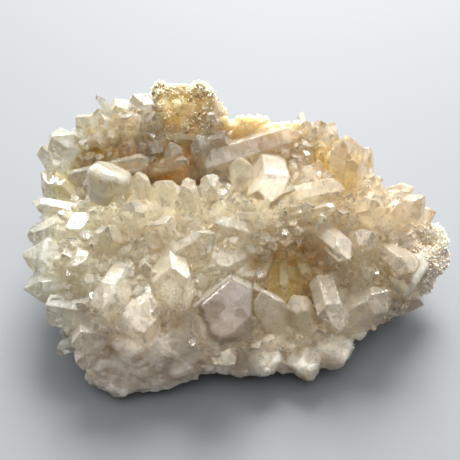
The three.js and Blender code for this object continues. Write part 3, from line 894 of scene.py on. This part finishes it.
def crystal_quartz():
    """Clear quartz with a milky root: a crystal's haze says how far up it the milk goes."""
    material, wire, output = new_material("crystal quartz")
    along, tone, haze, side = (attribute_of(wire, name) for name in ("along", "tone", "haze", "side"))
    place = place_of(wire)
    # painted shade: the widest crystal, marked by its tone, whose colour is darkened as shade
    grey = tone.ramp(1.1, 1.9)
    dome = haze.ramp(1.0, 1.05)

    # Growth steps: bands across the prism faces, each leaning its own way, and shallow pits.
    uv = wire.node("ShaderNodeUVMap", {"uv_map": "UVMap"})
    bands_place = vector_maths("MULTIPLY", uv, BAND_SIZE)
    bands = wire.node("ShaderNodeTexVoronoi", None, {"Vector": bands_place, "Scale": 1.0}, output="Color")
    rounded = wire.node("ShaderNodeBevel", None, {"Radius": EDGE_RADIUS})
    lean = vector_maths("SUBTRACT", bands, (0.5, 0.5, 0.5))
    lean_by = BAND_LEAN * (1 - 0.8 * grey)
    lean = wire.node("ShaderNodeVectorMath", {"operation": "SCALE"}, {0: lean, "Scale": lean_by})
    leaning = vector_maths("ADD", rounded, lean)
    leaning = wire.node("ShaderNodeVectorMath", {"operation": "NORMALIZE"}, {0: leaning})
    ribs = noise_at(vector_maths("MULTIPLY", uv, RIB_SIZE), scale=6, detail=3, roughness=0.6)
    pits = noise_at(place, scale=500, detail=3, roughness=0.5)
    surface = wire.node("ShaderNodeBump", None, {
        "Strength": 0.35,
        "Distance": 0.0003,
        "Height": ribs * side + pits * 0.4,
        "Normal": leaning,
    })

    # Milk at the root, veils where it has cracked and healed, edges clouded partly as chips and mostly as
    # painted highlight, and ridges between bands.
    veils = noise_at(place, scale=420, detail=4, roughness=0.6)
    milky = 1 - (along - haze + (veils - 0.5) * 1.7).ramp(-0.35, 0.35)
    patches = noise_at(place, scale=110, detail=2, roughness=0.5).ramp(0.4, 0.55)
    sheets = wire.maths("ABSOLUTE", noise_at(place, scale=260, detail=5, roughness=0.65) - 0.5)
    cracks = (1 - sheets.ramp(0.0, 0.018)) * patches
    flat = wire.node("ShaderNodeNewGeometry", output="Normal")
    # painted highlight: the rounded edges, where the bevelled normal turns away from the flat face, partly
    # real chipping and mostly a stand-in for the window's reflection
    edge_chips_and_highlight = 1 - vector_maths("DOT_PRODUCT", rounded, flat, output="Value").ramp(0.88, 0.99)
    steps = wire.node("ShaderNodeTexVoronoi", {"feature": "DISTANCE_TO_EDGE"},
                      {"Vector": bands_place, "Scale": 1.0})
    ridges = (1 - steps.ramp(0.0, 0.05)) * side
    cloudy = wire.maths("MAXIMUM", milky, cracks * CRACK_CLOUD)
    cloudy = wire.maths("MAXIMUM", cloudy, edge_chips_and_highlight * EDGE_CHIP_AND_HIGHLIGHT_CLOUD)
    cloudy = wire.maths("MAXIMUM", cloudy, ridges * RIDGE_CLOUD)

    # Warm on the right, greenish on the left, grey in front, painted shade in the widest crystal's darker
    # greyish colour, and stained round the cave.
    across = coordinate(place, "X")
    back = coordinate(place, "Y")
    milk = tone.colours(MILK_WARM, MILK_COOL)
    milk = (across.ramp(*RIGHT_BAND) * RIGHT_SHARE).colours(milk, MILK_RIGHT)
    milk = ((1 - across.ramp(*LEFT_BAND)) * LEFT_SHARE).colours(milk, MILK_LEFT)
    milk = ((1 - back.ramp(*FRONT_BAND)) * FRONT_SHARE).colours(milk, MILK_FRONT)
    # painted shade: the widest crystal turns a darker grey, browner towards its tip
    milk = grey.colours(milk, (along.ramp(0.7, 1.0) * 0.6).colours(PAINTED_SHADE_GREY, MILK_TIP))
    milk = dome.colours(milk, MILK_DOME)
    swirl = noise_at(place, scale=150, detail=1.5, roughness=0.5)
    contours = 1 - wire.maths("PINGPONG", swirl * CONTOUR_LINES, 0.5).ramp(0.0, CONTOUR_WIDTH)
    shown = noise_at(place, scale=90, detail=2, roughness=0.5).ramp(0.42, 0.6)
    milk = (contours * shown * (0.7 - 0.6 * dome)).colours(milk, CONTOUR_BROWN)
    # painted highlight: the edges are mixed towards white, partly as chips and mostly as the window's glint
    milk = (edge_chips_and_highlight * 0.6).colours(milk, CHIP_AND_HIGHLIGHT_WHITE)
    stained = (stain_mask(place) * STAIN_SHARE).colours(milk, STAIN)
    specks = noise_at(place, scale=1100, detail=2, roughness=0.5).ramp(0.70, 0.74)
    flecks = specks * noise_at(place, scale=130, detail=2, roughness=0.5).ramp(0.5, 0.6)
    stained = (flecks * (1 - dome)).colours(stained, FLECK_BROWN)
    ragged = (noise_at(place, scale=420, detail=2, roughness=0.5) - 0.5) * 1.6
    included = (nearness(place, INCLUSIONS) + ragged).ramp(0.2, 0.34)
    stained = (included * 0.75).colours(stained, INCLUSION)

    cloud = wire.node("ShaderNodeBsdfPrincipled", None, {
        "Base Color": stained,
        "Roughness": 0.16,
        "IOR": REFRACTION,
        "Normal": surface,
        "Transmission Weight": CLOUD_TRANSMISSION,
        "Coat Weight": 1.0,
        "Coat Roughness": 0.02,
    })
    clear = wire.node("ShaderNodeBsdfPrincipled", None, {
        "Base Color": stained,
        "Roughness": 0.02,
        "IOR": REFRACTION,
        "Normal": surface,
        "Transmission Weight": CLEAR_TRANSMISSION,
    })
    mixed = wire.node("ShaderNodeMixShader", None, {0: cloudy, 1: clear, 2: cloud})
    wire.tree.links.new(mixed.socket, output.inputs["Surface"])
    inside = wire.node("ShaderNodeVolumeAbsorption", None, {"Color": TINT, "Density": TINT_DENSITY})
    wire.tree.links.new(inside.socket, output.inputs["Volume"])
    return material


SMALL_MINOR_FACES = 0.3
LOWEST_CORNER = 0.0002  # m, so that no crystal touches the table
FINE_TRIES = 12000
FURTHEST_BACK = 48.5  # mm, for a fine crystal's tip
HAZE_SPREAD = 0.4

small = crystals_on_rock(scattered, reach=1.25, spread=0.55, wide=(5, 8.5), free=(3.5, 8), grade="clear")
small = with_room(small, large, clearance=0.53, low=9, low_behind=26)
chance = np.random.RandomState(11)
fine = chance.rand(FINE_TRIES, NUMBERS_EACH)
fine = crystals_on_rock(fine, reach=1.2, spread=0.9, wide=(2.3, 5.4), free=(2.2, 6.5), grade="clear")
fine = with_room(fine, large + small, clearance=0.27, low=11, low_behind=24)
fine = [crystal for crystal in fine if tip_of(crystal)[1] < FURTHEST_BACK]

meshes = []
for (foot, axis, width, free, grade), corners in zip(large, large_corners):
    if grade != "massive":
        # painted shade: the widest crystal gets the tone that paints it a darker grey
        tone = SHADED_CRYSTAL_TONE if grade == "grey" else chance.rand()
        meshes.append(crystal_mesh(corners, foot, Vector(axis), free, tone, HAZE[grade]))
for foot, axis, width, free, grade in small + fine:
    corners = corners_behind(crystal_planes(width, free, ROOT, SMALL_MINOR_FACES, draw))
    haze = HAZE[grade] + HAZE_SPREAD * chance.rand()
    meshes.append(crystal_mesh(corners, foot, Vector(axis), free, chance.rand(), haze))
crystals = grown_together("quartz_crystals", meshes)
corners = corners_of(crystals.data)
corners[:, 2] = np.maximum(corners[:, 2], LOWEST_CORNER)
crystals.data.vertices.foreach_set("co", corners.ravel())
crystals.data.materials.clear()
crystals.data.materials.append(crystal_quartz())
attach(crystals, "root")
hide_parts("quartz_cluster")


# ---- The druse ------------------------------------------------------------------
# A crust of sugar-fine quartz crystals, too small to be clear, over the stained block
# and on the broken point on the right.


# Each patch's middle, seen from above, its reach, and the heights between which it thickens.
BLOCK_PATCH = ((-19, 42), 15)
BLOCK_HEIGHTS = (38, 43)
BLOCK_DEPTHS = (42, 45)  # it thickens from front to back as well
THIN_IN_FRONT = 0.15
POINT_PATCH = ((60, 0), 14)
POINT_HEIGHTS = (8, 12)
POINT_COVER = 0.45
FULL_WITHIN = 0.6  # of a patch's reach


def patch(x, y, middle, reach):
    """1 round a patch's middle, seen from above, falling to 0 at its reach."""
    return 1 - smoothstep(np.hypot(x - middle[0], y - middle[1]), FULL_WITHIN * reach, reach)


def druse_cover(places):
    """How thickly the druse grows at each of the rock's corners, from 0 to 1.

    It's thin on the front of the block, and stops below its foot."""
    x, y, z = (places / MM).T
    behind = THIN_IN_FRONT + (1 - THIN_IN_FRONT) * smoothstep(y, *BLOCK_DEPTHS)
    block = patch(x, y, *BLOCK_PATCH) * smoothstep(z, *BLOCK_HEIGHTS) * behind
    point = POINT_COVER * patch(x, y, *POINT_PATCH) * smoothstep(z, *POINT_HEIGHTS)
    return np.maximum(block, point)


# A grain's lean about X and Y, which the lean input scales, and its turn about its own axis.
LEAST_SWING = (-1, -1, -3.1)
MOST_SWING = (1, 1, 3.1)


def druse_tree(grains, material):
    """Nodes that set the grains on a surface, each leaning its own way."""
    tree = bpy.data.node_groups.new("druse", "GeometryNodeTree")
    face = tree.interface
    face.new_socket("Surface", in_out="INPUT", socket_type="NodeSocketGeometry")
    for name in ("Per square metre", "Smallest", "Largest", "Lean"):
        face.new_socket(name, in_out="INPUT", socket_type="NodeSocketFloat")
    face.new_socket("Seed", in_out="INPUT", socket_type="NodeSocketInt")
    face.new_socket("Druse", in_out="OUTPUT", socket_type="NodeSocketGeometry")
    wire = Wire(tree)
    given = tree.nodes.new("NodeGroupInput")
    surface, density, smallest, largest, lean, seed = (Wire(tree, given.outputs[i]) for i in range(6))
    cover = wire.node("GeometryNodeInputNamedAttribute", {"data_type": "FLOAT"}, {"Name": "druse"})
    points = tree.nodes.new("GeometryNodeDistributePointsOnFaces")
    for name, value in (("Mesh", surface), ("Density", density * cover), ("Seed", seed)):
        tree.links.new(value.socket, points.inputs[name])
    kinds = wire.node("GeometryNodeJoinGeometry")
    for grain in grains:
        values = {"Object": grain, "As Instance": True}
        one = wire.node("GeometryNodeObjectInfo", None, values, output="Geometry")
        tree.links.new(one.socket, kinds.socket.node.inputs[0])
    outwards = Wire(tree, points.outputs["Normal"])
    upright = wire.node("FunctionNodeAlignRotationToVector", {"axis": "Z"}, {"Vector": outwards})
    swing = wire.node("FunctionNodeRandomValue", {"data_type": "FLOAT_VECTOR"},
                      {0: LEAST_SWING, 1: MOST_SWING, "Seed": seed})
    lean_by = wire.node("ShaderNodeCombineXYZ", None, {0: lean, 1: lean, 2: 1.0})
    turned = wire.node("FunctionNodeEulerToRotation", None, {0: vector_maths("MULTIPLY", swing, lean_by)})
    turned = wire.node("FunctionNodeRotateRotation", {"rotation_space": "LOCAL"}, {0: upright, 1: turned})
    size = wire.node("FunctionNodeRandomValue", {"data_type": "FLOAT"},
                     {2: smallest, 3: largest, "Seed": seed}, output=1)
    set_out = wire.node("GeometryNodeInstanceOnPoints", None, {
        "Points": Wire(tree, points.outputs["Points"]),
        "Instance": kinds,
        "Pick Instance": True,
        "Rotation": turned,
        "Scale": size,
    })
    real = wire.node("GeometryNodeRealizeInstances", None, {0: set_out})
    dressed = wire.node("GeometryNodeSetMaterial", None, {"Geometry": real, "Material": material})
    result = tree.nodes.new("NodeGroupOutput")
    tree.links.new(dressed.socket, result.inputs[0])
    return tree


GRAIN_LIGHT = colour(253, 240, 218)
GRAIN_WARM = colour(248, 228, 196)
GRAIN_ON_BLOCK = colour(240, 224, 188)
GRAIN_STAINED = colour(252, 224, 166)


def druse_quartz():
    """Sugary quartz: each grain scatters light and still shines."""
    material, wire, output = new_material("druse quartz")
    place = place_of(wire)
    cream = attribute_of(wire, "tone").colours(GRAIN_LIGHT, GRAIN_WARM)
    cream = coordinate(place, "X").ramp(0.02, 0.05).colours(GRAIN_ON_BLOCK, cream)
    shader = wire.node("ShaderNodeBsdfPrincipled", None, {
        "Base Color": stain_mask(place).colours(cream, GRAIN_STAINED),
        "Roughness": 0.12,
        "IOR": REFRACTION,
        "Subsurface Weight": 0.6,
        "Subsurface Radius": (0.004, 0.003, 0.002),
        "Subsurface Scale": 1.0,
    })
    wire.tree.links.new(shader.socket, output.inputs["Surface"])
    return material


GRAIN_KINDS = 4
SHORTEST_GRAIN = 0.9
LONGER_BY = 0.3
TONE_STEP = 0.2
GRAIN_ROOT = 0.6
GRAIN_HAZE = 0.4
GROWTH = {"Per square metre": 4500000.0, "Smallest": 0.28, "Largest": 0.62, "Lean": 0.5, "Seed": 5}

# The grains are made 1 mm wide, each kind longer than the last, and scaled as they are set.
grains = []
for number in range(GRAIN_KINDS):
    free = SHORTEST_GRAIN + LONGER_BY * number
    tone = TONE_STEP + TONE_STEP * number
    corners = corners_behind(crystal_planes(1.0, free, GRAIN_ROOT, SMALL_MINOR_FACES, draw))
    mesh = crystal_mesh(corners, (0, 0, 0), Vector((0, 0, 1)), free, tone, GRAIN_HAZE)
    grains.append(bpy.data.objects.new("grain", mesh))
druse = new_object("quartz_druse", rock.data.copy())
cover = druse.data.attributes.new("druse", "FLOAT", "POINT")
cover.data.foreach_set("value", druse_cover(corners_of(druse.data)))
growth = druse.modifiers.new("growth", "NODES")
growth.node_group = druse_tree(grains, druse_quartz())
sockets = {item.name: item.identifier for item in growth.node_group.interface.items_tree}
for name, value in GROWTH.items():
    growth[sockets[name]] = value
finished(druse)
for grain in grains:
    bpy.data.objects.remove(grain)
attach(druse, "root")
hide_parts("quartz_cluster")


# ---- Floor and light ------------------------------------------------------------
# A plain pale table in a room that is brightest up behind the cluster, where a
# wide window shines down on it.

FLOOR_REACH = 3
FLOOR_GREY = colour(116, 119, 122)
WINDOW_PLACE = Vector((0.16, 1.56, 1.50))
WINDOW_WIDTH = 1.2
WINDOW_WATTS = 127
WINDOW_TINT = (1, 0.985, 0.96)
ROOM_TINT = (0.95, 0.97, 1.0, 1)
BRIGHTEST_WAY = Vector((0.0, 0.66, 0.75))
ROOM_DARKEST = 0.1
ROOM_RISE = 2.0
ROOM_FADE = (-0.08, 0.95)  # how squarely it's seen, from where the rise starts to where it ends

floor_mesh = bpy.data.meshes.new("floor")
floor_corners = [(x * FLOOR_REACH, y * FLOOR_REACH, 0) for x, y in ((-1, -1), (1, -1), (1, 1), (-1, 1))]
floor_mesh.from_pydata(floor_corners, [], [(0, 1, 2, 3)])
floor = new_object("floor", floor_mesh)
material, wire, output = new_material("floor")
shader = wire.node("ShaderNodeBsdfPrincipled", None, {"Base Color": FLOOR_GREY, "Roughness": 0.7})
wire.tree.links.new(shader.socket, output.inputs["Surface"])
floor_mesh.materials.append(material)

window_data = bpy.data.lights.new("window", "AREA")
window_data.size = WINDOW_WIDTH
window_data.energy = WINDOW_WATTS
window_data.color = WINDOW_TINT
window = new_object("window", window_data)
window.location = WINDOW_PLACE
window.rotation_euler = (TARGET - WINDOW_PLACE).to_track_quat("-Z", "Y").to_euler()

room = bpy.data.worlds.new("room")
bpy.context.scene.world = room
room.use_nodes = True
direction = Wire(room.node_tree).node("ShaderNodeTexCoord", output="Generated")
towards = vector_maths("DOT_PRODUCT", direction, BRIGHTEST_WAY, output="Value")
brightness = towards.ramp(*ROOM_FADE) * ROOM_RISE + ROOM_DARKEST
background = room.node_tree.nodes["Background"]
background.inputs["Color"].default_value = ROOM_TINT
room.node_tree.links.new(brightness.socket, background.inputs["Strength"])

cycles = bpy.context.scene.cycles
cycles.max_bounces = 32
cycles.diffuse_bounces = 12
cycles.glossy_bounces = 16
cycles.transmission_bounces = 32
bpy.context.scene.view_settings.view_transform = "Standard"
